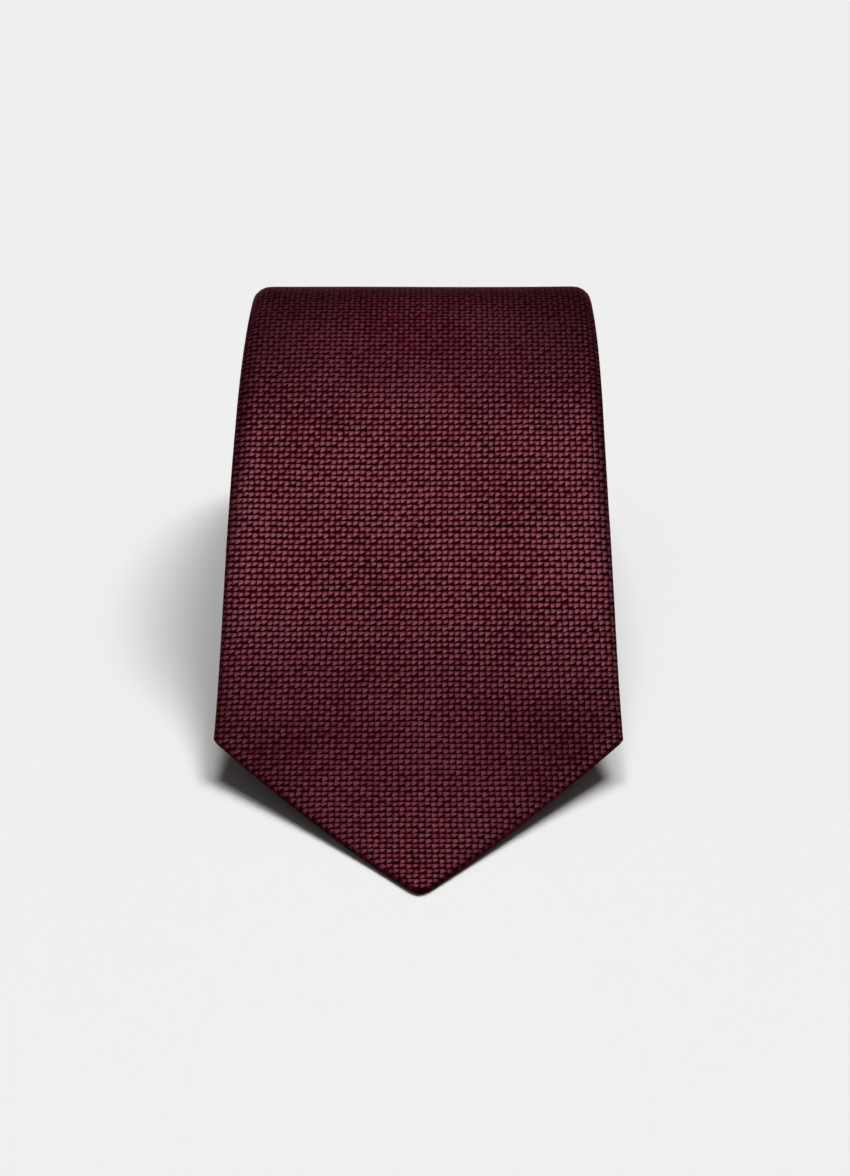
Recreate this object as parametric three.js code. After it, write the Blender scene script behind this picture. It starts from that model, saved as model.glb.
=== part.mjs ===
// A gentleman's necktie, rolled up from its narrow end and set down on a flat surface.
//
// The roll lies with its axis across the part (X). The wide end comes off the crest of the roll
// and runs forward (-Y) down to its point, which lies on the surface (Z = 0).
//
// A tie is an envelope of silk: three shell pieces (blade, neck and tail) are folded round a wool
// interlining and slip-stitched up the middle of the back. The two pointed ends are backed with
// tippings. Everything here is therefore a ribbon that follows one common path, at a depth below
// the tie's face. The path is a chain of straight runs, so that ribbons at different depths stay
// parallel and never cross.

import * as THREE from "three";

// ---------------------------------------------------------------------------------------------
// Driving dimensions, in millimetres and degrees
// ---------------------------------------------------------------------------------------------

const tieLength = 1480;
const bladeWidth = 80; // the widest part, at the shoulders of the blade's point
const neckWidth = 37; // the narrowest part, under the collar
const tailWidth = 46; // at the shoulders of the tail's point
const bladePointLength = 39.5; // from the shoulders to the point
const tailPointLength = 23;
const pointFlat = 2; // how much of each point is turned in, which leaves it blunt

const clothThickness = 0.38;
const foldClearance = 0.4; // between the folded edges and what lies in them
const interliningThickness = 0.78;
const tippingThickness = 0.12;
const layerClearance = 0.08; // between layers that lie on each other
const buttClearance = 0.3; // between pieces that meet end to end

const coreRadius = 6.5; // about what is left open in the middle of the roll
const turnClearance = 0.1; // between one turn of the roll and the next
const spokesPerTurn = 18; // twice an odd number, so that a flat run lies under the roll

const browStart = 6; // how steeply the free blade leaves the roll
const browRadius = 68; // bends down over the roll
const slopeAngle = 39; // the straight middle of the free blade
const footRadius = 117; // bends back until the point lies flat

const seamBladeNeck = 615; // distances from the blade's point
const seamNeckTail = 1010;
const taperStart = 60;
const taperEnd = 880;
const seamThreadWidth = 0.5;

const stitchWidth = 0.5; // the slip stitch, in the slit where the flaps meet
const hemWidth = 9; // square to the edge of the point
const flapsMeetBlade = 72; // the flaps close over the tipping here
const flapsMeetTail = 44; // the same, from the tail's point
const tippingPastFlaps = 9;
const tippingInset = 1.6;
const interliningInset = 4.5; // how far it stays back from each point

const keeperFromPoint = 222;
const keeperHeight = 12;
const keeperWidth = 50;
const keeperThickness = 0.3;
const tackWidth = 1.2;
const tackThickness = 0.2;
const labelPastKeeper = 20;
const labelWidth = 16;
const labelHeight = 26;
const labelThickness = 0.2;
const barTackWidth = 6;
const barTackHeight = 1.4;
const barTackThickness = 0.4;

// ---------------------------------------------------------------------------------------------
// Depths below the tie's face, and the turns of the roll
// ---------------------------------------------------------------------------------------------

const interliningTop = clothThickness + layerClearance;
const interliningBottom = interliningTop + interliningThickness;
const tippingTop = interliningBottom + layerClearance;
const tippingBottom = tippingTop + tippingThickness;
const flapTop = tippingBottom + layerClearance;
const tieThickness = flapTop + clothThickness;
const onTheBack = tieThickness + layerClearance;
const slitHalf = stitchWidth / 2 + buttClearance;

const radians = THREE.MathUtils.degToRad;
const lerp = THREE.MathUtils.lerp;
const clamp = THREE.MathUtils.clamp;
const spokeAngle = 360 / spokesPerTurn;
const halfTurn = spokesPerTurn / 2;
const flatness = Math.cos(radians(spokeAngle / 2));
// Along a spoke, which is not quite square to the runs on either side of it.
const pitch = (tieThickness + turnClearance) / flatness;

// The keeper loop, the label and the tail's bar tack stand proud of the back.
const keeperFrom = keeperFromPoint - keeperHeight / 2;
const keeperTo = keeperFromPoint + keeperHeight / 2;
const labelFrom = keeperTo + labelPastKeeper;
const labelTo = labelFrom + labelHeight;
const onTheKeeper = onTheBack + keeperThickness + layerClearance;
const onTheLabel = onTheBack + labelThickness + layerClearance;
const keeperRoom = Math.max(onTheKeeper, onTheLabel) + tackThickness - tieThickness;
const tailTackAt = tieLength - flapsMeetTail - barTackHeight;
const tailTackRoom = onTheBack + barTackThickness - tieThickness;

// ---------------------------------------------------------------------------------------------
// The path of the tie's face, from the blade's point to the tail's
// ---------------------------------------------------------------------------------------------

const browDrop = browRadius * (Math.cos(radians(browStart)) - Math.cos(radians(slopeAngle)));
const footDrop = footRadius * (1 - Math.cos(radians(slopeAngle)));
const bentLength = radians(slopeAngle - browStart) * browRadius + radians(slopeAngle) * footRadius;

// The roll's top and bottom are flat runs; the bottom is half a turn, so half a pitch, further in.
const axisHeightOf = (radius) => (radius - pitch / 2) * flatness;
const crestHeightOf = (radius) => axisHeightOf(radius) + radius * flatness;
// The straight middle of the free blade is as long as it takes to come down to the surface.
function straightLengthOf(radius) {
  const drop = crestHeightOf(radius) - tieThickness - browDrop - footDrop;
  return drop / Math.sin(radians(slopeAngle));
}

// The roll is as big as the length of tie that is wound round its core makes it.
const polygonArea = halfTurn * Math.sin(radians(spokeAngle)); // where its radius is 1
let rollRadius = coreRadius;
for (let i = 0; i < 20; i++) {
  const wound = tieLength - bentLength - straightLengthOf(rollRadius);
  const windings = (wound * (tieThickness + turnClearance)) / polygonArea;
  const middleRadius = Math.sqrt((coreRadius + tieThickness / 2) ** 2 + windings);
  rollRadius = middleRadius + tieThickness / 2 + keeperRoom;
}
const axisHeight = axisHeightOf(rollRadius);
const crestHeight = crestHeightOf(rollRadius);

// The vertices from the crest down to the blade's point, as (y, z).
function freeBladeVertices() {
  const at = new THREE.Vector2(-rollRadius * Math.sin(radians(spokeAngle / 2)), crestHeight);
  const vertices = [at.clone()];
  const step = (length, angle) => {
    at.x -= length * Math.cos(radians(angle));
    at.y -= length * Math.sin(radians(angle));
    vertices.push(at.clone());
  };
  const bend = (radius, from, to, parts) => {
    const turn = (to - from) / parts;
    const chord = 2 * radius * Math.sin(Math.abs(radians(turn)) / 2);
    for (let i = 0; i < parts; i++) step(chord, from + turn * (i + 0.5));
  };
  bend(browRadius, browStart, slopeAngle, 5);
  step(straightLengthOf(rollRadius), slopeAngle);
  bend(footRadius, slopeAngle, 0, 9);
  return vertices;
}

const freeBlade = freeBladeVertices().reverse();
const hingeVertex = freeBlade.length - 1;

// Down the back of the roll, under it, up its front, and round again, always further in. The
// radius shrinks by one pitch in each turn, and by more for half a turn past what stands proud.
function rollVertices() {
  const vertices = [freeBlade[hingeVertex]];
  const shorterInside = tieThickness * Math.tan(radians(spokeAngle / 2));
  let radius = rollRadius;
  let distance = bentLength + straightLengthOf(rollRadius);
  let keeperSteps = halfTurn;
  let tackSteps = halfTurn;
  for (let spoke = 0; distance < tieLength; spoke++) {
    const angle = radians((spoke + 0.5) * spokeAngle);
    const height = axisHeight + radius * Math.cos(angle);
    vertices.push(new THREE.Vector2(radius * Math.sin(angle), height));
    distance += vertices[spoke + 1].distanceTo(vertices[spoke]) - shorterInside;
    if (spoke % halfTurn === halfTurn - 1) continue;
    radius -= pitch / (spokesPerTurn - 2);
    if (spoke > halfTurn && distance > labelTo && keeperSteps-- > 0) radius -= keeperRoom / halfTurn;
    if (distance > tailTackAt && tackSteps-- > 0) radius -= tailTackRoom / halfTurn;
    if (radius < tieThickness + turnClearance) throw new Error("the roll has no core left");
  }
  return vertices.slice(1);
}
const faceLine = [...freeBlade, ...rollVertices()];

// At each vertex, the way down into the tie, long enough to keep the thickness of both runs.
const inwards = faceLine.map((vertex, i) => {
  const along = (a, b) => faceLine[b].clone().sub(faceLine[a]).normalize();
  const before = along(Math.max(i - 1, 0), Math.max(i, 1));
  const after = along(Math.min(i, faceLine.length - 2), Math.min(i + 1, faceLine.length - 1));
  const middle = before.clone().add(after).normalize();
  return new THREE.Vector2(middle.y, -middle.x).divideScalar(middle.dot(after));
});

function vertexAt(i, depth) {
  return faceLine[i].clone().addScaledVector(inwards[i], depth);
}

// Distances from the blade's point, along the middle of the thickness.
const distances = [0];
for (let i = 1; i < faceLine.length; i++) {
  const run = vertexAt(i, tieThickness / 2).distanceTo(vertexAt(i - 1, tieThickness / 2));
  distances.push(distances[i - 1] + run);
}
const hingeDistance = distances[hingeVertex];

// A point of the part, from its distance along the tie, its place across it and its depth.
function place(distance, across, depth) {
  let i = distances.findIndex((d) => d > distance) - 1;
  const share = (distance - distances[i]) / (distances[i + 1] - distances[i]);
  const at = vertexAt(i, depth).lerp(vertexAt(i + 1, depth), share);
  return new THREE.Vector3(across, at.x, at.y);
}

// ---------------------------------------------------------------------------------------------
// The outline of the tie, laid flat
// ---------------------------------------------------------------------------------------------

// Half the width at a distance from the blade's point.
function halfWidth(distance) {
  const fromTail = tieLength - distance;
  const bladePoint = (bladeWidth / 2) * (distance / bladePointLength);
  const tailPoint = (tailWidth / 2) * (fromTail / tailPointLength);
  const toNeck = THREE.MathUtils.smoothstep(distance, taperStart, taperEnd);
  const toTail = THREE.MathUtils.smoothstep(distance, taperEnd, tieLength - tailPointLength);
  const body = lerp(bladeWidth, neckWidth, toNeck) / 2 + ((tailWidth - neckWidth) / 2) * toTail;
  return Math.min(bladePoint, tailPoint, body);
}

// How far from the middle the free edges of the flaps are, on the back. The hems of each point are
// open over its tipping. From its shoulders on, the flaps close in a straight line.
const hemAcross = hemWidth * Math.SQRT2;
function openingAt(fromPoint, width, pointLength, flapsMeet) {
  const hemmed = Math.min(fromPoint / pointLength, 1) * (width / 2) - hemAcross;
  const closed = clamp((fromPoint - pointLength) / (flapsMeet - pointLength), 0, 1);
  return Math.max(slitHalf, lerp(hemmed, slitHalf, closed));
}
function slitAt(distance) {
  const blade = openingAt(distance, bladeWidth, bladePointLength, flapsMeetBlade);
  const tail = openingAt(tieLength - distance, tailWidth, tailPointLength, flapsMeetTail);
  return Math.max(blade, tail);
}

// ---------------------------------------------------------------------------------------------
// Ribbons
// ---------------------------------------------------------------------------------------------

// Where a ribbon has a cross-section: at its ends, at the bends of the path and at its own marks.
function stations(from, to, marks) {
  const nearest = 0.02;
  const fixed = [from, to, ...marks.filter((m) => m > from + nearest && m < to - nearest)];
  const bends = distances.filter(
    (d) => d > from && d < to && fixed.every((f) => Math.abs(f - d) > nearest),
  );
  return [...fixed, ...bends].sort((a, b) => a - b);
}

// A closed solid through cross-sections. section(distance) lists its corners as [across, depth].
function ribbon(from, to, section, marks = []) {
  const along = stations(from, to, marks);
  const rings = along.map((d) => section(d).map(([across, depth]) => place(d, across, depth)));
  const corners = rings[0].length;
  const cap = (distance) => {
    const outline = section(distance).map(([across, depth]) => new THREE.Vector2(across, depth));
    return THREE.ShapeUtils.triangulateShape(outline, []);
  };
  const faces = [];
  for (let r = 0; r + 1 < rings.length; r++) {
    for (let c = 0; c < corners; c++) {
      const next = (c + 1) % corners;
      const [a, b] = [r * corners + c, r * corners + next];
      const [e, f] = [a + corners, b + corners];
      faces.push([a, b, f], [a, f, e]);
    }
  }
  const last = (rings.length - 1) * corners;
  for (const [a, b, c] of cap(along[0])) faces.push([a, c, b]);
  for (const [a, b, c] of cap(along[along.length - 1])) faces.push([last + a, last + b, last + c]);
  const geometry = new THREE.BufferGeometry().setFromPoints(rings.flat());
  geometry.setIndex(facingOut(rings.flat(), faces).flat());
  geometry.computeVertexNormals();
  return geometry;
}

// The faces turned round, if they enclose a negative volume.
function facingOut(points, faces) {
  const volume = faces.reduce((sum, [a, b, c]) => {
    return sum + points[a].dot(new THREE.Vector3().crossVectors(points[b], points[c]));
  }, 0);
  return volume > 0 ? faces : faces.map(([a, b, c]) => [a, c, b]);
}

// A plain strip between two depths; half(distance) is half its width.
function strip(from, to, half, top, bottom, marks = []) {
  const section = (distance) => {
    const w = half(distance);
    return [
      [-w, top],
      [w, top],
      [w, bottom],
      [-w, bottom],
    ];
  };
  return ribbon(from, to, section, marks);
}

// A small flat piece on the back of the tie, between two places across it.
function patch(from, to, left, right, top, thickness) {
  const section = () => [
    [left, top],
    [right, top],
    [right, top + thickness],
    [left, top + thickness],
  ];
  return ribbon(from, to, section);
}

const outlineMarks = [
  bladePointLength,
  flapsMeetBlade,
  tieLength - flapsMeetTail,
  tieLength - tailPointLength,
];

// ---------------------------------------------------------------------------------------------
// Materials
// ---------------------------------------------------------------------------------------------

const cloth = (color, roughness) => new THREE.MeshStandardMaterial({ color, roughness, metalness: 0 });
const silk = cloth(0x5f2a35, 0.6);
const wool = cloth(0xd8d2c4, 0.95);
const lining = cloth(0x4a1722, 0.4);
const thread = cloth(0x6d2431, 0.55);
const tape = cloth(0x2a2226, 0.6);

// ---------------------------------------------------------------------------------------------
// The pieces
// ---------------------------------------------------------------------------------------------

const tie = new THREE.Group();

function add(name, geometry, material) {
  const mesh = new THREE.Mesh(geometry, material);
  mesh.name = name;
  tie.add(mesh);
}

// The silk: the face, both edges and the two flaps of the back, as one folded piece.
function shell(from, to) {
  const section = (distance) => {
    const w = halfWidth(distance);
    const slit = Math.min(slitAt(distance), w - clothThickness - layerClearance);
    const inside = w - clothThickness;
    return [
      [-slit, tieThickness],
      [-w, tieThickness],
      [-w, 0],
      [w, 0],
      [w, tieThickness],
      [slit, tieThickness],
      [slit, flapTop],
      [inside, flapTop],
      [inside, clothThickness],
      [-inside, clothThickness],
      [-inside, flapTop],
      [-slit, flapTop],
    ];
  };
  const openFrom = (width, pointLength) => ((slitHalf + hemAcross) / (width / 2)) * pointLength;
  const hemMarks = [
    openFrom(bladeWidth, bladePointLength),
    tieLength - openFrom(tailWidth, tailPointLength),
  ];
  return ribbon(from, to, section, [...outlineMarks, ...hemMarks]);
}

const beforeHinge = hingeDistance - buttClearance / 2;
const afterHinge = hingeDistance + buttClearance / 2;
add("blade_shell_free", shell(pointFlat, beforeHinge), silk);
const seamHalf = seamThreadWidth / 2 + buttClearance;
add("blade_shell_rolled", shell(afterHinge, seamBladeNeck - seamHalf), silk);
add("neck_shell", shell(seamBladeNeck + seamHalf, seamNeckTail - seamHalf), silk);
add("tail_shell", shell(seamNeckTail + seamHalf, tieLength - pointFlat), silk);

// The wool inside, cut to the tie's shape, which gives it body.
function interlining(from, to) {
  const half = (d) => halfWidth(d) - clothThickness - foldClearance;
  return strip(from, to, half, interliningTop, interliningBottom, outlineMarks);
}
add("interlining_free", interlining(interliningInset, beforeHinge), wool);
add("interlining_rolled", interlining(afterHinge, tieLength - interliningInset), wool);

// The linings that back the two points, under the flaps.
function tipping(from, to) {
  const half = (d) => halfWidth(d) - tippingInset;
  return strip(from, to, half, tippingTop, tippingBottom, outlineMarks);
}
add("blade_tipping", tipping(interliningInset, flapsMeetBlade + tippingPastFlaps), lining);
add(
  "tail_tipping",
  tipping(tieLength - flapsMeetTail - tippingPastFlaps, tieLength - interliningInset),
  lining,
);

// The one long thread that closes the back, from bar tack to bar tack.
function slipStitch(from, to) {
  return strip(from, to, () => stitchWidth / 2, flapTop, tieThickness);
}
const stitchStart = flapsMeetBlade + buttClearance;
const stitchEnd = tieLength - flapsMeetTail - buttClearance;
add("slip_stitch_free", slipStitch(stitchStart, beforeHinge), thread);
add("slip_stitch_rolled", slipStitch(afterHinge, stitchEnd), thread);

// The bar tacks that end the slip stitch, across both flaps.
function barTack(distance) {
  const half = barTackWidth / 2;
  const from = distance - barTackHeight / 2;
  return patch(from, from + barTackHeight, -half, half, onTheBack, barTackThickness);
}
add("blade_bar_tack", barTack(flapsMeetBlade + barTackHeight), thread);
add("tail_bar_tack", barTack(tailTackAt), thread);

// The seams that join the three pieces of silk.
function seam(distance) {
  const half = (d) => halfWidth(d) - clothThickness - layerClearance;
  const from = distance - seamThreadWidth / 2;
  return strip(from, from + seamThreadWidth, half, 0, clothThickness);
}
add("blade_neck_seam_thread", seam(seamBladeNeck), thread);
add("neck_tail_seam_thread", seam(seamNeckTail), thread);

// The keeper loop across the back, which takes the tail when the tie is worn, and its tacks.
add(
  "keeper_loop",
  patch(keeperFrom, keeperTo, -keeperWidth / 2, keeperWidth / 2, onTheBack, keeperThickness),
  silk,
);
for (const [side, sign] of [
  ["left", -1],
  ["right", 1],
]) {
  const middle = sign * (keeperWidth / 2 - tackWidth);
  const geometry = patch(
    keeperFrom,
    keeperTo,
    middle - tackWidth / 2,
    middle + tackWidth / 2,
    onTheKeeper,
    tackThickness,
  );
  add("keeper_tack_" + side, geometry, thread);
}

// The care label, a blank tape over the slip stitch, sewn down along its top.
const labelHalf = labelWidth / 2;
add("care_label", patch(labelFrom, labelTo, -labelHalf, labelHalf, onTheBack, labelThickness), tape);
const labelSeam = labelFrom + tackWidth;
const labelSeamHalf = labelHalf - tackWidth;
add(
  "care_label_stitches",
  patch(labelSeam, labelSeam + tackWidth, -labelSeamHalf, labelSeamHalf, onTheLabel, tackThickness),
  thread,
);

export default tie;
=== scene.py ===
import math

import bmesh
import bpy
import numpy as np
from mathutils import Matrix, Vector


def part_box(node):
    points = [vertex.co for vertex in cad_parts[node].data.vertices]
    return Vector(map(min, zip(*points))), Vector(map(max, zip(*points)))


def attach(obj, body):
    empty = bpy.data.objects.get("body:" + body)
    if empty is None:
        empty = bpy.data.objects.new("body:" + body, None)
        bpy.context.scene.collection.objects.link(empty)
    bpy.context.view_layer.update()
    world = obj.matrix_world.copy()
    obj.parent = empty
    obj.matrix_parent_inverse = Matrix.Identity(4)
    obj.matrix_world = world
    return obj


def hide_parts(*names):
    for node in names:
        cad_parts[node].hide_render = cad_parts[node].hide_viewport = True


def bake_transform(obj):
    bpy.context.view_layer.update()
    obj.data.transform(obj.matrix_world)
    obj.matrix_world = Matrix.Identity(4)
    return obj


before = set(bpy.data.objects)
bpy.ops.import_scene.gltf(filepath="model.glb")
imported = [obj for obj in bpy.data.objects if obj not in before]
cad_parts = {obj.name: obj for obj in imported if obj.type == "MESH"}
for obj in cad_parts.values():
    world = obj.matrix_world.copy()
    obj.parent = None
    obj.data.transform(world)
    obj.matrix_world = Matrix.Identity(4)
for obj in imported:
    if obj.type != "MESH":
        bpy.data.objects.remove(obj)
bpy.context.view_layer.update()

# ---------------------------------------------------------------------------------------------
# Camera
# A standing viewer's eye looks down at the blade's face. The tie is set out in metres, with the
# blade's point towards the viewer.
# ---------------------------------------------------------------------------------------------

LOOKING_DOWN = 30.93

camera_data = bpy.data.cameras.new("camera")
camera_data.sensor_fit = "VERTICAL"
camera_data.sensor_height = 24
camera_data.lens = 38.27
camera = bpy.data.objects.new("camera", camera_data)
camera.location = (0.0013, -0.3998, 0.2241)
camera.rotation_euler = (math.radians(90 - LOOKING_DOWN), 0, 0)
bpy.context.collection.objects.link(camera)
bpy.context.scene.camera = camera
bpy.context.scene.view_settings.view_transform = "Standard"

# ---------------------------------------------------------------------------------------------
# Blade, neck and tail silk
# Three pieces of burgundy silk in a small basket weave, sewn end to end. Each is folded round
# the interlining, so that its two flaps meet up the middle of the back. All sizes here are in
# millimetres. Everything on the tie is placed by its distance from the blade's point along the
# tie, its place across it, and its depth below the face.
# ---------------------------------------------------------------------------------------------

MM = 0.001
TIE_LENGTH = 1480
TIE_THICKNESS = 1.86
SILK = 0.38
POINT_THICKNESS = 1.45
POINT_ROUNDING = 3.2

# The roll's crest is as high as the frame's. Half a turn further in, its bottom is on z = 0.
TURN_PITCH = 2.0
crest_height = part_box("blade_shell_rolled")[1].z / MM
crest_radius = crest_height / 2 + TURN_PITCH / 4
axis_height = crest_height - crest_radius

# The free blade turns down over the brow of the roll, runs straight, and turns flat again.
BROW_START = math.radians(6)
SLOPE = math.radians(39)
BROW_RADIUS = 68
FOOT_RADIUS = 117
brow_drop = BROW_RADIUS * (math.cos(BROW_START) - math.cos(SLOPE))
foot_drop = FOOT_RADIUS * (1 - math.cos(SLOPE))
crest_drop = crest_radius * (1 - math.cos(BROW_START))
straight_drop = crest_height - TIE_THICKNESS - crest_drop - brow_drop - foot_drop
bends = np.cumsum(
    [
        0,
        crest_radius * BROW_START,
        BROW_RADIUS * (SLOPE - BROW_START),
        straight_drop / math.sin(SLOPE),
        FOOT_RADIUS * SLOPE,
    ]
)
crest_at = bends[-1]

# The face line of the free blade, from the point up to the crest, as distance, y, z and the
# angle that its normal leans back from straight up.
down_from_crest = np.linspace(0, crest_at, 3000)
fall = np.interp(down_from_crest, bends, [0, BROW_START, SLOPE, SLOPE, 0])
step_down = down_from_crest[1]


def running_sum(values, step):
    return np.concatenate([[0], np.cumsum((values[1:] + values[:-1]) / 2) * step])


free_line = np.array(
    [
        crest_at - down_from_crest,
        -running_sum(np.cos(fall), step_down),
        crest_height - running_sum(np.sin(fall), step_down),
        -fall,
    ]
)[:, ::-1]

# The roll goes back from the crest and round, further in by a pitch in each turn, and by a
# little more where the keeper loop and the label lie between its first two turns.
KEEPER_ROOM = 0.66
KEEPER_TURN_START, KEEPER_TURN_SHARE = 0.72, 0.5
TURNS = 12.5
turned = np.linspace(0, TURNS * math.tau, 12000)[1:]
keeper_ease = np.clip((turned / math.tau - KEEPER_TURN_START) / KEEPER_TURN_SHARE, 0, 1)
roll_radius = crest_radius - TURN_PITCH * turned / math.tau - KEEPER_ROOM * keeper_ease
middle_radius = roll_radius - TIE_THICKNESS / 2
rolled_length = running_sum(middle_radius, turned[1] - turned[0]) + middle_radius[0] * turned[0]
roll_line = np.array(
    [
        crest_at + rolled_length,
        roll_radius * np.sin(turned),
        axis_height + roll_radius * np.cos(turned),
        turned,
    ]
)
face_line = np.concatenate([free_line, roll_line], axis=1)


def smooth(value, low, high):
    t = np.clip((value - low) / (high - low), 0, 1)
    return t * t * (3 - 2 * t)


# The outline of the tie laid flat: half its width at each distance from the blade's point.
BLADE_HALF, NECK_HALF, TAIL_HALF = 40.7, 18.5, 23
BLADE_POINT, TAIL_POINT = 39.5, 23
TAPER_START, TAPER_END = 60, 880


def point_half_width(distance, half, length):
    """Half the width of a pointed end, whose tip is rounded off."""
    straight = half * distance / length
    centre = POINT_ROUNDING * math.sqrt(2)
    arc = np.sqrt(np.maximum(POINT_ROUNDING**2 - (centre - distance) ** 2, 0.04))
    return np.where(distance < POINT_ROUNDING / math.sqrt(2), arc, straight)


def half_width(distance):
    body = BLADE_HALF + (NECK_HALF - BLADE_HALF) * smooth(distance, TAPER_START, TAPER_END)
    body = body + (TAIL_HALF - NECK_HALF) * smooth(distance, TAPER_END, TIE_LENGTH - TAIL_POINT)
    blade = point_half_width(distance, BLADE_HALF, BLADE_POINT)
    tail = point_half_width(TIE_LENGTH - distance, TAIL_HALF, TAIL_POINT)
    return np.minimum(body, np.minimum(blade, tail))


# How far from the middle the free edges of the flaps are, on the back: the hems of the two
# points are open over their linings, and the flaps meet everywhere else.
HEM_WIDTH = 9
HEM = HEM_WIDTH * math.sqrt(2)
SLIT = 0.12
FLAPS_MEET_BLADE, FLAPS_MEET_TAIL = 72, 44


def hem_opening(from_point, half, length, meet):
    shoulder = half - HEM
    in_point = half * from_point / length - HEM
    past = shoulder * np.clip(1 - (from_point - length) / (meet - length), 0, 1)
    return np.where(from_point < length, in_point, past)


def slit_half(distance):
    blade = hem_opening(distance, BLADE_HALF, BLADE_POINT, FLAPS_MEET_BLADE)
    tail = hem_opening(TIE_LENGTH - distance, TAIL_HALF, TAIL_POINT, FLAPS_MEET_TAIL)
    return np.maximum(SLIT, np.maximum(blade, tail))


# The edges curl down, most of all over the crest, where nothing as wide is under them. The
# curl is an arc of this many degrees over this much of each edge.
CURL_DISTANCES = [0, 70, 84, 112, 150, 250, 450, 700, 900]
CURL_DEGREES = [8, 9, 18, 46, 66, 52, 36, 12, 3]
CURL_WIDTHS = [4.5, 4.5, 4.5, 4.5, 4.5, 5, 6, 6, 5]

# Cloth is never quite even: low waves in the free blade, and turns that wander sideways.
WAVE, CROSS_WAVE = 0.16, 0.1
LONG_WANDER, SHORT_WANDER = 0.35, 0.2
BROW_SHIFT, POINT_SHIFT = 0.6, 0.4

# The weight of the roll presses its bottom flat where it rests, by so much, with an edge so soft.
PRESSED, PRESSED_EDGE = 0.4, 0.22


def place(distance, across, depth):
    """The points, in metres, at these distances, places across and depths, all of one shape."""
    width = half_width(distance)
    curl_width = np.minimum(np.interp(distance, CURL_DISTANCES, CURL_WIDTHS), width * 0.5)
    curl = np.radians(np.interp(distance, CURL_DISTANCES, CURL_DEGREES))
    flat_part = width - curl_width
    past = np.maximum(np.abs(across) - flat_part, 0)
    angle = curl * past / curl_width
    radius = curl_width / curl
    x = np.minimum(np.abs(across), flat_part) + radius * np.sin(angle) - depth * np.sin(angle)
    sunk = radius * (1 - np.cos(angle)) + depth * np.cos(angle)
    on_roll = smooth(distance, crest_at - 10, crest_at + 60)
    free = smooth(distance, 25, 70) * (1 - on_roll)
    wave = np.sin(distance / 13 + 0.9) * np.cos(across / 17 + 0.5)
    wave = WAVE * wave + CROSS_WAVE * np.sin(distance / 21 - across / 11 + 2)
    sunk = sunk + free * wave
    wander = LONG_WANDER * np.sin(distance / 61 + 1) + SHORT_WANDER * np.sin(distance / 23)
    drift = on_roll * wander + BROW_SHIFT * smooth(distance, 90, 155)
    drift = drift + POINT_SHIFT * (1 - smooth(distance, 0, 34))
    y, z, lean = (np.interp(distance, face_line[0], line) for line in face_line[1:])
    y = y - sunk * np.sin(lean)
    z = z - sunk * np.cos(lean)
    settled = z + PRESSED * (z / crest_height - 1)
    settled = PRESSED_EDGE * np.logaddexp(0, settled / PRESSED_EDGE)
    z = z + on_roll * (settled - z)
    x = np.sign(across) * x + drift
    return np.stack([x, y, z], axis=-1) * MM


def thickness(distance):
    """How thick the tie is. Its points are pressed thinner than the rest."""
    end = np.minimum(distance, TIE_LENGTH - distance)
    return POINT_THICKNESS + (TIE_THICKNESS - POINT_THICKNESS) * smooth(end, 2, 30)


def stations(start, end, step, degrees=4):
    """Distances from start to end, closer together where the roll turns tightly."""
    marks = [start]
    while marks[-1] < end:
        here = marks[-1]
        radius = np.interp(here, roll_line[0], roll_radius) if here > crest_at else 100
        from_end = min(here, TIE_LENGTH - here)
        near_point = min(step, 0.12 + 0.05 * from_end)
        marks.append(here + min(near_point, radius * math.radians(degrees)))
    marks[-1] = end
    return np.array(marks)


SHARP_DEGREES = 50


def tube_mesh(name, points, **maps):
    """A closed mesh through rings of points. Its first and middle points are the ring's two
    ends, and the rest are its outside and its inside, so the caps are strips between them.
    Each map gives every point two numbers, for the shaders to read as a UV map of that name."""
    rings, corners = points.shape[:2]
    built = bmesh.new()
    grid = [[built.verts.new(point) for point in ring] for ring in points.tolist()]
    for low, high in zip(grid, grid[1:]):
        for here in range(corners):
            after = (here + 1) % corners
            built.faces.new((low[here], low[after], high[after], high[here]))
    middle = corners // 2
    for ring in (grid[0], grid[-1]):
        built.faces.new((ring[0], ring[1], ring[-1]))
        built.faces.new((ring[middle - 1], ring[middle], ring[middle + 1]))
        for here in range(1, middle - 1):
            built.faces.new((ring[here], ring[here + 1], ring[-here - 1], ring[-here]))
    built.verts.index_update()
    bmesh.ops.recalc_face_normals(built, faces=built.faces)
    mesh = bpy.data.meshes.new(name)
    built.to_mesh(mesh)
    built.free()
    mesh.shade_smooth()
    mesh.set_sharp_from_angle(angle=math.radians(SHARP_DEGREES))
    owners = np.zeros(len(mesh.loops), int)
    mesh.loops.foreach_get("vertex_index", owners)
    for map_name, pairs in maps.items():
        layer = mesh.uv_layers.new(name=map_name)
        layer.uv.foreach_set("vector", pairs.reshape(-1, 2)[owners].astype(np.float32).ravel())
    piece = bpy.data.objects.new(name, mesh)
    bpy.context.collection.objects.link(piece)
    return piece


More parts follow.
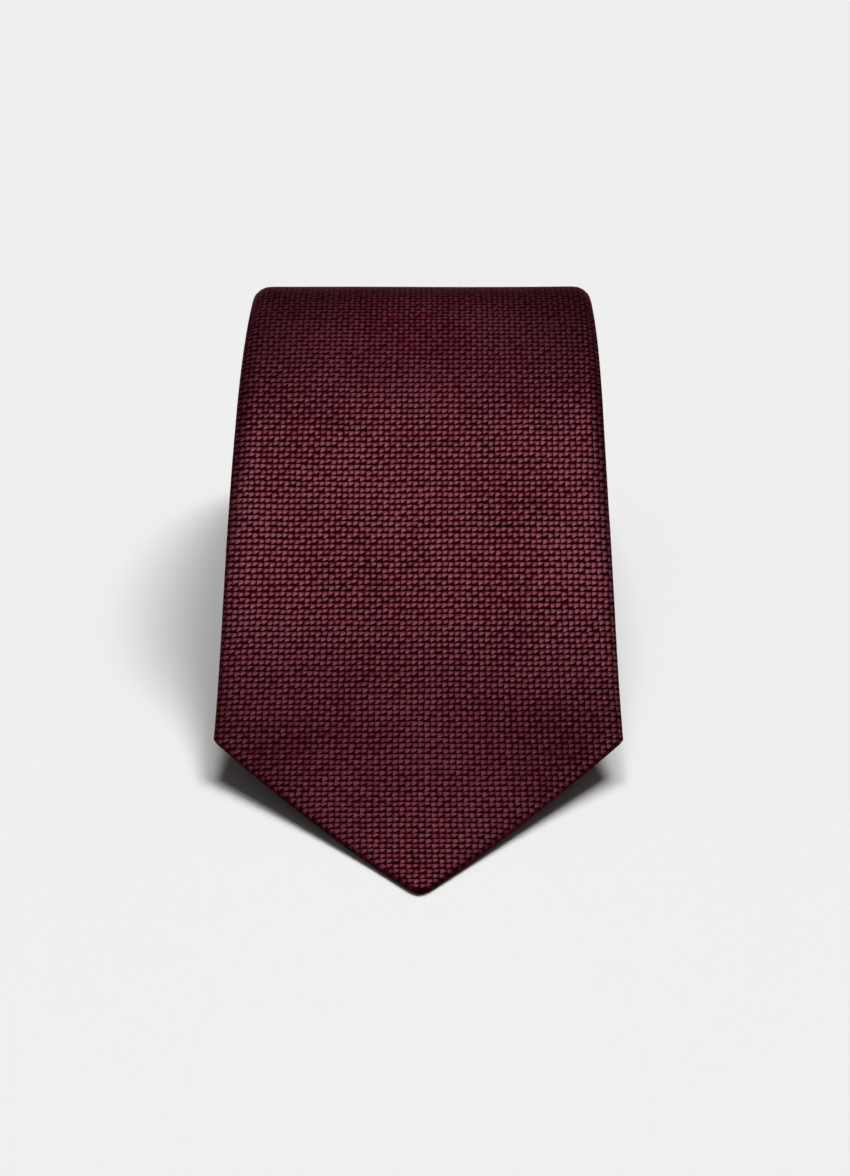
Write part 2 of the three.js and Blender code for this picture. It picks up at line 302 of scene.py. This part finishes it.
def silk_envelope(name, start, end, step, face_points, degrees=4):
    """The folded silk between two distances, and the area and the greatest width of its cut."""
    distance = stations(start, end, step, degrees)[:, None]
    thick = thickness(distance)
    width = half_width(distance)
    fold = np.minimum(thick / 2, 0.8 * width)
    flat = width - fold
    slit = np.minimum(slit_half(distance), 0.9 * flat)
    back_share = np.linspace(0, 1, max(face_points // 4, 6))
    fold_angle = np.linspace(math.pi, 0, 9)[1:-1]
    face_share = np.linspace(-1, 1, face_points)

    def contour(inset):
        back = slit + (flat - slit) * back_share
        round_x = np.maximum(fold - inset, 0.02)
        turn = flat + round_x * np.sin(fold_angle)
        turn_depth = thick / 2 - (thick / 2 - inset) * np.cos(fold_angle)
        one = np.ones_like(back)
        across = [-back, -turn, flat * face_share, turn[:, ::-1], back[:, ::-1]]
        depth = [(thick - inset) * one, turn_depth, inset + 0 * flat * face_share]
        depth += [turn_depth[:, ::-1], (thick - inset) * one]
        return np.concatenate(across, axis=1), np.concatenate(depth, axis=1)

    outside, outside_depth = contour(0)
    inside, inside_depth = contour(SILK)
    # Where each of those points is on the silk laid flat, across from the middle of the face.
    arc = (fold + thick / 2) / 2
    flap = 2 * flat + math.pi * arc - slit - (flat - slit) * back_share
    turn = flat + arc * fold_angle
    woven = [-flap, -turn, flat * face_share, turn[:, ::-1], flap[:, ::-1]]
    woven = np.concatenate(woven, axis=1)
    lip = np.maximum(slit - 0.08, 0.03)
    lip_depth = thick - SILK / 2
    lip_woven = woven[:, -1:]
    across = np.concatenate([-lip, outside, lip, inside[:, ::-1]], axis=1)
    depth = np.concatenate([lip_depth, outside_depth, lip_depth, inside_depth[:, ::-1]], axis=1)
    woven = np.concatenate([-lip_woven, woven, lip_woven, woven[:, ::-1]], axis=1)
    depth = depth + TIE_THICKNESS - thick
    distance = distance + 0 * across
    in_from_fold = np.minimum(np.abs(np.abs(woven) - flat - arc * math.pi / 2), distance * 0.7)
    piece = tube_mesh(
        name,
        place(distance, across, depth),
        cloth=np.stack([woven, distance], axis=-1),
        crease=np.stack([in_from_fold, thick + 0 * across], axis=-1),
    )
    girth = 2 * lip_woven[:, 0]
    area = np.sum((girth[1:] + girth[:-1]) / 2 * np.diff(distance[:, 0]))
    return piece, girth.max(), area


class Value:
    """A node's output. A formula on it adds the Math nodes that work it out."""

    def __init__(self, tree, socket=None):
        self.tree = tree
        self.socket = socket

    def node(self, kind, settings=None, inputs=None, output=0):
        """Any node: its settings first, then the numbers, colours or links of its inputs."""
        made = self.tree.nodes.new(kind)
        for key, setting in (settings or {}).items():
            if key == "stops":
                ramp = made.color_ramp.elements
                while len(ramp) < len(setting):
                    ramp.new(0.5)
                for stop, (at, colour) in zip(ramp, setting):
                    stop.position = at
                    stop.color = (*colour, 1)
            else:
                setattr(made, key, setting)
        for key, value in (inputs or {}).items():
            if isinstance(value, Value):
                self.tree.links.new(value.socket, made.inputs[key])
            else:
                made.inputs[key].default_value = value
        return Value(self.tree, made.outputs[output]) if len(made.outputs) else made

    def output(self, index):
        """Another output of the node that this comes from."""
        return Value(self.tree, self.socket.node.outputs[index])

    def math(self, operation, *others):
        inputs = dict(enumerate((self, *others)))
        return self.node("ShaderNodeMath", {"operation": operation}, inputs)

    def __add__(self, other):
        return self.math("ADD", other)

    def __sub__(self, other):
        return self.math("SUBTRACT", other)

    def __mul__(self, other):
        return self.math("MULTIPLY", other)

    def __rsub__(self, other):
        return self.node("ShaderNodeMath", {"operation": "SUBTRACT"}, {0: other, 1: self})

    __radd__ = __add__
    __rmul__ = __mul__

    def between(self, low, high):
        """0 below low, 1 above high, and smooth between them."""
        inputs = {"Value": self, "From Min": low, "From Max": high}
        return self.node("ShaderNodeMapRange", {"interpolation_type": "SMOOTHSTEP"}, inputs)

    def blend(self, first, second):
        """The first colour where this is 0 and the second where it is 1."""
        factor, colour_a, colour_b, mixed = 0, 6, 7, 2
        inputs = {factor: self, colour_a: first, colour_b: second}
        return self.node("ShaderNodeMix", {"data_type": "RGBA"}, inputs, output=mixed)


def new_finish(name):
    """An empty material and the Value that its nodes start from."""
    material = bpy.data.materials.new(name)
    material.use_nodes = True
    material.node_tree.nodes.clear()
    return material, Value(material.node_tree)


def finish_with(start, inputs, height=None, relief=0.0, strength=1.0):
    """The material's shader and output. relief is how many metres a height of 1 stands up."""
    if height is not None:
        bump = {"Strength": strength, "Distance": relief, "Height": height}
        inputs = {**inputs, "Normal": start.node("ShaderNodeBump", None, bump)}
    shader = start.node("ShaderNodeBsdfPrincipled", None, inputs)
    start.node("ShaderNodeOutputMaterial", None, {"Surface": shader})


# The lattice of the weave, in millimetres, and what one float of it looks like, in shares of a
# cell unless it says otherwise. The colours run from the painted shade at the bottom of a gap to
# the top of a float, which is the silk's own colour lightened partly by painted sheen.
CELL_ACROSS, CELL_ALONG = 1.238, 1.31
STAGGER, JITTER, PULL = 0.1, 0.14, 0.5
FLOAT_AT_X, FLOAT_AT_Y = -0.04, 0.09
WEFT_SHIFT = 0.16
WARP_LEAN, WEFT_LEAN_CHANGE, LEAN_JITTER = (0.56, 0.8), (0.3, -0.34), 0.2
NARROWNESS, FLATNESS, ROUNDNESS = 1.42, 1.62, 0.6
GAP_MIDDLE, GAP_NARROWNESS, GAP_SHORTNESS = 0.18, 3.8, 1.5
GAP_LOWEST, GAP_SWEEP = -0.47, 0.42
FILAMENTS_ACROSS, FILAMENTS_ALONG = 34.0, 7.0
SILK_RELIEF = 0.00022
SILK_STOPS = [
    (0.0, (0.009, 0.0, 0.0007)),
    (0.25, (0.028, 0.0008, 0.0036)),
    (0.6, (0.086, 0.0125, 0.0205)),
    (1.0, (0.176, 0.047, 0.064)),
]
GRAZING_TINT = (0.6, 0.26, 0.36, 1)
# How far in from the folds the silk is pressed smooth, and how much its tone is evened out and
# darkened there as painted shade.
CREASE_START, CREASE_END = 0.25, 1.15
CREASE_CONTRAST, CREASE_TONE = 0.28, 0.17


def basket_weave(name):
    """Silk in a small basket weave: short floats of the warp and the weft take turns, so each
    cell of the lattice holds one slanted float with a gap under its lower right side. The gap is
    darkened with painted shade, and the float's top is lightened partly with painted sheen."""
    material, start = new_finish(name)
    cloth = start.node("ShaderNodeUVMap", {"uv_map": "cloth"})
    across = start.node("ShaderNodeSeparateXYZ", None, {0: cloth})
    along = across.output(1)
    slow = start.node("ShaderNodeTexNoise", None, {"Vector": cloth, "Scale": 0.11, "Detail": 2.0})
    pull = start.node("ShaderNodeSeparateXYZ", None, {0: slow.output(1)})
    column = across * (1 / CELL_ACROSS) + (pull - 0.5) * PULL
    row = along * (1 / CELL_ALONG) + (pull.output(1) - 0.5) * PULL
    cell_y = row.math("FLOOR")
    column = column + cell_y.math("PINGPONG", 1.0) * STAGGER
    cell_x = column.math("FLOOR")
    cell = start.node("ShaderNodeCombineXYZ", None, {0: cell_x, 1: cell_y})
    chance = start.node("ShaderNodeTexWhiteNoise", {"noise_dimensions": "2D"}, {"Vector": cell})
    chance_x = start.node("ShaderNodeSeparateXYZ", None, {0: chance.output(1)})
    odd = (cell_x + cell_y).math("PINGPONG", 1.0)

    # Inside a cell, from its middle: to the right, and up towards the roll.
    x = column - cell_x - 0.5 + (chance_x - 0.5) * JITTER
    y = row - cell_y - 0.5 + (chance_x.output(1) - 0.5) * JITTER
    # A float of the weft lies flatter, and a little lower, than one of the warp.
    y = y + (odd - 0.5) * WEFT_SHIFT
    lean_x = odd * WEFT_LEAN_CHANGE[0] + WARP_LEAN[0] + (chance_x.output(2) - 0.5) * LEAN_JITTER
    lean_y = odd * WEFT_LEAN_CHANGE[1] + WARP_LEAN[1]
    lengthways = (x - FLOAT_AT_X) * lean_x - (y - FLOAT_AT_Y) * lean_y
    crossways = (x - FLOAT_AT_X) * lean_y + (y - FLOAT_AT_Y) * lean_x
    off_float = (lengthways * NARROWNESS).math("POWER", 2.0)
    off_float = off_float + (crossways * FLATNESS).math("POWER", 2.0)
    float_height = (1.0 - off_float).math("MAXIMUM", 0.0).math("POWER", ROUNDNESS)
    # The gap starts low on the left and sweeps up round the float's lower right side.
    sweep = (x + 0.5).math("POWER", 2.0) * GAP_SWEEP + GAP_LOWEST
    off_gap = ((y - sweep) * GAP_NARROWNESS).math("POWER", 2.0)
    off_gap = off_gap + ((x - GAP_MIDDLE) * GAP_SHORTNESS).math("POWER", 2.0)
    gap = (1.0 - off_gap).between(0.0, 0.8)

    # Filaments show along each float.
    filaments = (crossways * FILAMENTS_ACROSS + lengthways * FILAMENTS_ALONG).math("SINE")
    filaments = (filaments * 0.5 + 0.5) * float_height
    height = float_height - gap * 0.5 + filaments * 0.06

    yarn = start.node("ShaderNodeTexNoise", None, {"Vector": cloth, "Scale": 0.9, "Detail": 3.0})
    # The colour is darkest in the gaps, as painted shade, and lightest on the floats' tops, where
    # the silk's own colour is lightened partly by painted sheen.
    tone = float_height * 0.95 + filaments * 0.12 - gap * 0.95
    tone = tone + (chance - 0.5) * 0.3 * float_height + (yarn - 0.5) * 0.5
    # The colour is made lighter and darker slowly over the cloth: painted sheen that comes and goes.
    lustre = start.node("ShaderNodeTexNoise", None, {"Vector": cloth, "Scale": 0.04, "Detail": 1.0})
    tone = tone * ((lustre - 0.5) * 0.7 + 1.0)
    # Along the folded edges the silk is pressed flat and smooth, and its colour is evened out and
    # darkened there as painted shade.
    crease_map = start.node("ShaderNodeUVMap", {"uv_map": "crease"})
    in_from_fold = start.node("ShaderNodeSeparateXYZ", None, {0: crease_map})
    open_cloth = (in_from_fold + (yarn - 0.5) * 0.5).between(CREASE_START, CREASE_END)
    tone = tone * (open_cloth * (1 - CREASE_CONTRAST) + CREASE_CONTRAST)
    tone = tone + (1.0 - open_cloth) * CREASE_TONE
    inputs = {
        "Base Color": start.node("ShaderNodeValToRGB", {"stops": SILK_STOPS}, {"Fac": tone}),
        "Roughness": 0.6 - float_height * 0.12,
        "Metallic": 0.84,
        "Specular IOR Level": 0.03,
        "Specular Tint": GRAZING_TINT,
    }
    finish_with(start, inputs, height * open_cloth, relief=SILK_RELIEF, strength=0.8)
    return material


silk_finish = basket_weave("burgundy_silk")

# The blade's silk is cut under the roll into its free part and the part that stays rolled up,
# because only the first crosses the hinge.
SEAM_BLADE_NECK, SEAM_NECK_TAIL = 615, 1010
SEAM_HALF = 0.08
BLADE_CUT_TURNED = 178
under_roll = float(np.interp(math.radians(BLADE_CUT_TURNED), roll_line[3], roll_line[0]))

# Each point's silk starts just past the very end of its rounded tip.
POINT_START = POINT_ROUNDING * (math.sqrt(2) - 1) + 0.03

silk_pieces = [
    ("blade_silk", "blade_shell_free", POINT_START, under_roll, 0.9, 61, 2.6),
    ("blade_silk_rolled", "blade_shell_rolled", under_roll, SEAM_BLADE_NECK - SEAM_HALF, 2.2, 33, 4),
    ("neck_silk", "neck_shell", SEAM_BLADE_NECK + SEAM_HALF, SEAM_NECK_TAIL - SEAM_HALF, 2, 25, 5),
    ("tail_silk", "tail_shell", SEAM_NECK_TAIL + SEAM_HALF, TIE_LENGTH - POINT_START, 2, 25, 5),
]
for name, node, start_at, end_at, step, face_points, degrees in silk_pieces:
    silk, cut_width, cut_area = silk_envelope(name, start_at, end_at, step, face_points, degrees)
    silk.data.materials.append(silk_finish)
    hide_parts(node)
    cut_width * MM
    cut_area * MM * MM
    if name == "blade_silk":
        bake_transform(silk)
    else:
        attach(silk, "roll")

# ---------------------------------------------------------------------------------------------
# Interlining
# One length of brushed, undyed wool cut to the tie's shape. It lies loose inside the silk from
# a little way behind one point to a little way behind the other.
# ---------------------------------------------------------------------------------------------

INTERLINING = 0.78
LAYER_GAP = 0.05
INTERLINING_INSET = 4.5
FOLD_GAP = 0.7
STRIP_EDGE = 0.3


def strip(name, distance, left, right, top, bottom, points=25, turned_weave=False):
    """A flat piece between two places across and two depths, with rounded edges. Its points
    are closer together near them, where it curls."""
    distance = distance[:, None]
    limits = (left, right, top, bottom)
    left, right, top, bottom = (np.broadcast_to(limit, distance.shape) for limit in limits)
    share = (1 - np.cos(np.linspace(0, math.pi, points))) / 2
    across = left + (right - left) * share
    edge = np.minimum((bottom - top) * 0.4, STRIP_EDGE)
    inner_left, inner_right = left - edge, right + edge
    across = np.concatenate([inner_left, across, inner_right, across[:, ::-1]], axis=1)
    one = np.ones(points)
    middle = (top + bottom) / 2
    depth = np.concatenate([middle, top * one, middle, bottom * one], axis=1)
    distance = distance + 0 * across
    woven = [distance, across] if turned_weave else [across, distance]
    from_edge = np.minimum(across - inner_left, inner_right - across)
    maps = {"cloth": np.stack(woven, axis=-1), "crease": np.stack([from_edge, distance], axis=-1)}
    return tube_mesh(name, place(distance, across, depth), **maps)


def nap(name, dark, light, scale, relief):
    """Brushed wool: a felted tangle of fibres, darkened in the hollows between them with painted
    shade.
    """
    material, start = new_finish(name)
    cloth = start.node("ShaderNodeUVMap", {"uv_map": "cloth"})
    tufts = start.node("ShaderNodeTexNoise", None, {"Vector": cloth, "Scale": scale, "Detail": 6.0})
    felt = {"Vector": cloth, "Scale": scale * 4, "Detail": 4.0, "Distortion": 2.5}
    fibres = start.node("ShaderNodeTexNoise", None, felt)
    height = tufts * 0.5 + fibres * 0.5
    # Darker where the tangle is low: painted shade in its hollows.
    colour = height.between(0.3, 0.7).blend(dark, light)
    roughness = 0.98 - fibres * 0.12
    inputs = {"Base Color": colour, "Roughness": roughness, "Sheen Weight": 0.3}
    finish_with(start, inputs, height, relief=relief, strength=0.7)
    return material


# The wool's colour in its hollows, darkened with painted shade, and on its tufts.
WOOL_DARK, WOOL_LIGHT = (0.34, 0.31, 0.26, 1), (0.72, 0.68, 0.6, 1)
wool_finish = nap("brushed_wool", WOOL_DARK, WOOL_LIGHT, scale=0.8, relief=0.0003)

interlining_pieces = [
    ("interlining", "interlining_free", INTERLINING_INSET, under_roll, 2),
    ("interlining_in_roll", "interlining_rolled", under_roll, TIE_LENGTH - INTERLINING_INSET, 4),
]
for name, node, start_at, end_at, step in interlining_pieces:
    distance = stations(start_at, end_at, step, 8)
    half = half_width(distance)[:, None] - SILK - FOLD_GAP
    thick = thickness(distance)[:, None]
    pressed_by = TIE_THICKNESS - thick
    top = SILK + LAYER_GAP + pressed_by
    wool = strip(name, distance, -half, half, top, top + INTERLINING - pressed_by)
    wool.data.materials.append(wool_finish)
    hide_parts(node)
    if name == "interlining":
        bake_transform(wool)
    else:
        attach(wool, "roll")

# ---------------------------------------------------------------------------------------------
# Tippings
# Each point is lined behind with plain burgundy satin. The hems and the flaps are sewn down over
# its edges, so it shows as a kite-shaped window in the back.
# ---------------------------------------------------------------------------------------------

TIPPING = 0.12
TIPPING_INSET = 1.6
TIPPING_FROM_POINT = 4.5
PAST_FLAPS = 9
UNDER_FLAPS = 0.02


def satin(name, dark, light):
    """Fine plain-coloured satin, with long smooth floats and a soft streak along them."""
    material, start = new_finish(name)
    cloth = start.node("ShaderNodeUVMap", {"uv_map": "cloth"})
    fine = start.node("ShaderNodeTexWave", None, {"Vector": cloth, "Scale": 1.9, "Distortion": 0.6})
    stretched = start.node("ShaderNodeMapping", None, {"Vector": cloth, "Scale": (2.6, 0.12, 1.0)})
    detail = {"Vector": stretched, "Scale": 1.0, "Detail": 4.0}
    streaks = start.node("ShaderNodeTexNoise", None, detail)
    colour = (fine * 0.35 + streaks * 0.65).between(0.2, 0.8).blend(dark, light)
    roughness = 0.5 - streaks * 0.14
    inputs = {"Base Color": colour, "Roughness": roughness, "Specular IOR Level": 0.12}
    finish_with(start, inputs, fine, relief=0.00004, strength=0.5)
    return material


LINING_DARK, LINING_LIGHT = (0.085, 0.009, 0.018, 1), (0.2, 0.03, 0.05, 1)
lining_finish = satin("burgundy_lining", LINING_DARK, LINING_LIGHT)

blade_end_at = FLAPS_MEET_BLADE + PAST_FLAPS
tail_start_at = TIE_LENGTH - FLAPS_MEET_TAIL - PAST_FLAPS
tail_end_at = TIE_LENGTH - TIPPING_FROM_POINT
tipping_pieces = [
    ("blade_tipping_lining", "blade_tipping", "blade_end", TIPPING_FROM_POINT, blade_end_at),
    ("tail_tipping_lining", "tail_tipping", "roll", tail_start_at, tail_end_at),
]
for name, node, body, start_at, end_at in tipping_pieces:
    distance = stations(start_at, end_at, 1.5, 6)
    half = half_width(distance)[:, None] - TIPPING_INSET
    bottom = TIE_THICKNESS - SILK - UNDER_FLAPS
    lining = strip(name, distance, -half, half, bottom - TIPPING, bottom)
    lining.data.materials.append(lining_finish)
    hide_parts(node)
    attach(lining, body)

# ---------------------------------------------------------------------------------------------
# Slip stitch
# One long slack thread closes the back from bar tack to bar tack. It passes from flap to flap
# inside the fold, so it only shows where the flaps gape.
# ---------------------------------------------------------------------------------------------

THREAD_RADIUS = 0.16
STITCH_PITCH = 8
WANDER, DIVE, THREAD_DEPTH = 0.3, 0.12, 0.3
NEVER_AHEAD = (0.13, 0.21, 0.97)


def thread(name, points, radius=THREAD_RADIUS, sides=8):
    """A closed round thread through points in metres, none of them far apart."""
    points = np.asarray(points)
    ahead = np.gradient(points, axis=0)
    ahead /= np.linalg.norm(ahead, axis=1, keepdims=True)
    side = np.cross(ahead, NEVER_AHEAD)
    side /= np.linalg.norm(side, axis=1, keepdims=True)
    up = np.cross(side, ahead)
    angle = np.linspace(0, math.tau, sides, endpoint=False)[None, :, None]
    outward = np.cos(angle) * side[:, None] + np.sin(angle) * up[:, None]
    steps = np.linalg.norm(np.diff(points, axis=0), axis=1)
    travelled = np.concatenate([[0], np.cumsum(steps)]) / MM
    around = np.linspace(0, 1, sides, endpoint=False)
    plies = np.stack(np.broadcast_arrays(around[None, :], travelled[:, None]), axis=-1)
    return tube_mesh(name, points[:, None] + radius * MM * outward, cloth=plies)


def twisted_thread(name, dark, light):
    """Sewing silk: the plies wind round the thread, with painted shade in the lines between them."""
    material, start = new_finish(name)
    cloth = start.node("ShaderNodeUVMap", {"uv_map": "cloth"})
    around = start.node("ShaderNodeSeparateXYZ", None, {0: cloth})
    plies = ((around * 2.0 + around.output(1) * 2.2) * math.tau).math("SINE") * 0.5 + 0.5
    fuzz = start.node("ShaderNodeTexNoise", None, {"Vector": cloth, "Scale": 9.0, "Detail": 3.0})
    # Darker between the plies: painted shade in the grooves.
    colour = (plies * 0.7 + fuzz * 0.3).between(0.15, 0.85).blend(dark, light)
    roughness = 0.6 - plies * 0.15
    inputs = {"Base Color": colour, "Roughness": roughness, "Sheen Weight": 0.15}
    finish_with(start, inputs, plies, relief=0.00005, strength=0.8)
    return material


# The thread's colour in the painted shade between its plies, and on their tops.
THREAD_DARK, THREAD_LIGHT = (0.035, 0.004, 0.008, 1), (0.2, 0.045, 0.065, 1)
thread_finish = twisted_thread("burgundy_thread", THREAD_DARK, THREAD_LIGHT)


def sewn(piece, node, body=None):
    """Gives a thread its finish, hides its node, and rides it on its body, if it crosses no joint.
    """
    piece.data.materials.append(thread_finish)
    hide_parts(node)
    if body:
        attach(piece, body)


for name, node, start_at, end_at in (
    ("slip_stitch", "slip_stitch_free", FLAPS_MEET_BLADE + 1, under_roll),
    ("slip_stitch_in_roll", "slip_stitch_rolled", under_roll, TIE_LENGTH - FLAPS_MEET_TAIL - 1),
):
    distance = stations(start_at, end_at, 1.3, 10)
    wander = WANDER * np.sin(distance * math.tau / STITCH_PITCH)
    deep = TIE_THICKNESS - THREAD_DEPTH + DIVE * np.cos(distance * math.tau / STITCH_PITCH)
    stitches = thread(name, place(distance, wander, deep))
    sewn(stitches, node, None if name == "slip_stitch" else "roll")
    if name == "slip_stitch":
        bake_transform(stitches)

# ---------------------------------------------------------------------------------------------
# Bar tacks
# A few stitches of silk thread on top of each other, across both flaps. They hold the slip stitch
# where it starts and where it ends.
# ---------------------------------------------------------------------------------------------

TACK_HALF = 3
TACK_PASSES = 9
TACK_SPACING = 0.17
TACK_RADIUS = 0.13
TACK_STEPS = 12
TACK_FROM_END = 1.4


def bar_tack(name, middle_distance):
    """A thread that goes to and fro across the flaps, diving into them at each end."""
    passes = np.arange(TACK_PASSES * TACK_STEPS + 1) / TACK_STEPS
    across = TACK_HALF * np.cos(passes * math.pi)
    distance = middle_distance + (passes - TACK_PASSES / 2) * TACK_SPACING
    lifted = 0.17 * (1 - (across / TACK_HALF) ** 6)
    points = place(distance, across, TIE_THICKNESS + lifted - 0.05)
    return thread(name, points, TACK_RADIUS)


blade_tack = bar_tack("blade_bar_tack_stitches", FLAPS_MEET_BLADE + TACK_FROM_END)
sewn(blade_tack, "blade_bar_tack", "blade_end")
tail_tack = bar_tack("tail_bar_tack_stitches", TIE_LENGTH - FLAPS_MEET_TAIL - TACK_FROM_END)
sewn(tail_tack, "tail_bar_tack", "roll")

# ---------------------------------------------------------------------------------------------
# Seams between the three pieces of silk
# Each is a row of small machine stitches in silk thread. It runs across the tie, sunk between the
# two pressed edges.
# ---------------------------------------------------------------------------------------------

MACHINE_STITCH = 2.2
MACHINE_THREAD_RADIUS = 0.12
SEAM_END_INSET = 1.2

for name, node, seam_at in (
    ("blade_neck_seam", "blade_neck_seam_thread", SEAM_BLADE_NECK),
    ("neck_tail_seam", "neck_tail_seam_thread", SEAM_NECK_TAIL),
):
    reach = float(half_width(np.array(seam_at))) - SEAM_END_INSET
    across = np.linspace(-reach, reach, 120)
    deep = 0.2 + 0.06 * np.cos(across * math.tau / MACHINE_STITCH)
    row = thread(name, place(seam_at + 0 * across, across, deep), MACHINE_THREAD_RADIUS)
    sewn(row, node, "roll")

# ---------------------------------------------------------------------------------------------
# Keeper loop
# A band of the same silk across the back, which holds the tail when the tie is worn. Each end
# is tacked down to a flap by a short row of stitches.
# ---------------------------------------------------------------------------------------------

KEEPER_AT, KEEPER_HEIGHT, KEEPER_HALF, KEEPER_THICK = 222, 12, 25, 0.3
TACK_ROW_INSET, TACK_ROW_SHORTER, TACK_ROW_PITCH = 1.2, 1.5, 1.6

distance = stations(KEEPER_AT - KEEPER_HEIGHT / 2, KEEPER_AT + KEEPER_HEIGHT / 2, 0.8)
on_back = TIE_THICKNESS + LAYER_GAP
keeper_limits = (-KEEPER_HALF, KEEPER_HALF, on_back, on_back + KEEPER_THICK)
keeper = strip("keeper_band", distance, *keeper_limits, points=41, turned_weave=True)
keeper.data.materials.append(silk_finish)
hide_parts("keeper_loop")
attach(keeper, "roll")

for side, sign in (("left", -1), ("right", 1)):
    run = np.linspace(-0.5, 0.5, 60)
    phase = run * KEEPER_HEIGHT * math.tau / TACK_ROW_PITCH
    across = sign * (KEEPER_HALF - TACK_ROW_INSET) + 0.12 * np.sin(phase)
    deep = on_back + KEEPER_THICK + 0.1 * np.cos(phase)
    points = place(KEEPER_AT + run * (KEEPER_HEIGHT - TACK_ROW_SHORTER), across, deep)
    row = thread("keeper_stitches_" + side, points, MACHINE_THREAD_RADIUS)
    sewn(row, "keeper_tack_" + side, "roll")

# ---------------------------------------------------------------------------------------------
# Care label
# A blank dark tape, woven in fine ribs. It lies over the slip stitch, and one row of stitches
# along its top holds it.
# ---------------------------------------------------------------------------------------------

LABEL_FROM, LABEL_HEIGHT, LABEL_HALF, LABEL_THICK = 248, 26, 8, 0.2
LABEL_STITCHES_IN, LABEL_STITCHES_DOWN = 1.2, 1.8
TAPE_DARK, TAPE_LIGHT = (0.006, 0.004, 0.005, 1), (0.03, 0.024, 0.027, 1)


def ribbed_tape(name, dark, light):
    """Narrow woven tape with fine ribs across it."""
    material, start = new_finish(name)
    cloth = start.node("ShaderNodeUVMap", {"uv_map": "cloth"})
    across_it = {"bands_direction": "Y"}
    ribs = start.node("ShaderNodeTexWave", across_it, {"Vector": cloth, "Scale": 0.8})
    grain = start.node("ShaderNodeTexNoise", None, {"Vector": cloth, "Scale": 4.0, "Detail": 3.0})
    colour = (ribs * 0.6 + grain * 0.4).between(0.2, 0.8).blend(dark, light)
    roughness = 0.7 - grain * 0.2
    inputs = {"Base Color": colour, "Roughness": roughness}
    finish_with(start, inputs, ribs, relief=0.00006, strength=0.6)
    return material


distance = stations(LABEL_FROM, LABEL_FROM + LABEL_HEIGHT, 1.2)
label_back = on_back + LABEL_THICK
label = strip("blank_label", distance, -LABEL_HALF, LABEL_HALF, on_back, label_back, points=13)
label.data.materials.append(ribbed_tape("dark_tape", TAPE_DARK, TAPE_LIGHT))
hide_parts("care_label")
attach(label, "roll")

reach = LABEL_HALF - LABEL_STITCHES_IN
across = np.linspace(-reach, reach, 60)
deep = label_back + 0.1 * np.cos(across * math.tau / MACHINE_STITCH)
points = place(LABEL_FROM + LABEL_STITCHES_DOWN + 0 * across, across, deep)
row = thread("label_stitches", points, MACHINE_THREAD_RADIUS)
sewn(row, "care_label_stitches", "roll")

# ---------------------------------------------------------------------------------------------
# Floor and light
# A plain pale surface. Two soft suns behind light it, and make no highlight on the silk. A broad
# one overhead makes only the highlights. Faint daylight comes from all round.
# ---------------------------------------------------------------------------------------------

FLOOR_HALF = 30.0
FLOOR_DARK, FLOOR_LIGHT = (0.89, 0.89, 0.89, 1), (0.9, 0.9, 0.9, 1)
LAMP_Y, LAMP_Z, LAMP_AIM_Y = 0.05, 0.15, -0.155
DAYLIGHT = 0.065

floor_mesh = bpy.data.meshes.new("floor")
corners = [(-FLOOR_HALF, -FLOOR_HALF, 0), (FLOOR_HALF, -FLOOR_HALF, 0)]
corners += [(FLOOR_HALF, FLOOR_HALF, 0), (-FLOOR_HALF, FLOOR_HALF, 0)]
floor_mesh.from_pydata(corners, [], [(0, 1, 2, 3)])
floor = bpy.data.objects.new("floor", floor_mesh)
bpy.context.collection.objects.link(floor)
floor_finish, start = new_finish("pale_floor")
grain = start.node("ShaderNodeTexNoise", None, {"Scale": 60.0, "Detail": 2.0})
pale = grain.blend(FLOOR_DARK, FLOOR_LIGHT)
finish_with(start, {"Base Color": pale, "Roughness": 0.9, "Specular IOR Level": 0.1})
floor_mesh.materials.append(floor_finish)


def sun(name, strength, spread, leaning, heading):
    """A soft sun: leaning is how far it is from overhead, and heading the way it comes from,
    turning from +X towards +Y, all in degrees."""
    light = bpy.data.lights.new(name, "SUN")
    light.energy = strength
    light.angle = math.radians(spread)
    lamp = bpy.data.objects.new(name, light)
    lamp.rotation_euler = (0, math.radians(leaning), math.radians(heading))
    bpy.context.collection.objects.link(lamp)
    return lamp


sun("overhead", 1.88, 42, 23, -92).visible_diffuse = False
sun("behind_right", 1.86, 21, 29, 50).visible_glossy = False
sun("behind", 1.36, 20, 26, 95).visible_glossy = False

# A small lamp just behind the roll reaches over it, and makes a highlight on the blade's point.
small_lamp = bpy.data.lights.new("over_the_roll", "SPOT")
small_lamp.energy = 0.62
small_lamp.shadow_soft_size = 0.03
small_lamp.spot_size = math.radians(29)
small_lamp.spot_blend = 1.0
lamp = bpy.data.objects.new("over_the_roll", small_lamp)
lamp.location = (0, LAMP_Y, LAMP_Z)
lamp.rotation_euler = (-math.atan2(LAMP_Y - LAMP_AIM_Y, LAMP_Z), 0, 0)
lamp.visible_diffuse = False
lamp.visible_camera = False
bpy.context.collection.objects.link(lamp)

world = bpy.data.worlds.new("daylight")
world.use_nodes = True
sky = world.node_tree.nodes["Background"].inputs
sky["Color"].default_value = (1, 1, 1, 1)
sky["Strength"].default_value = DAYLIGHT
bpy.context.scene.world = world
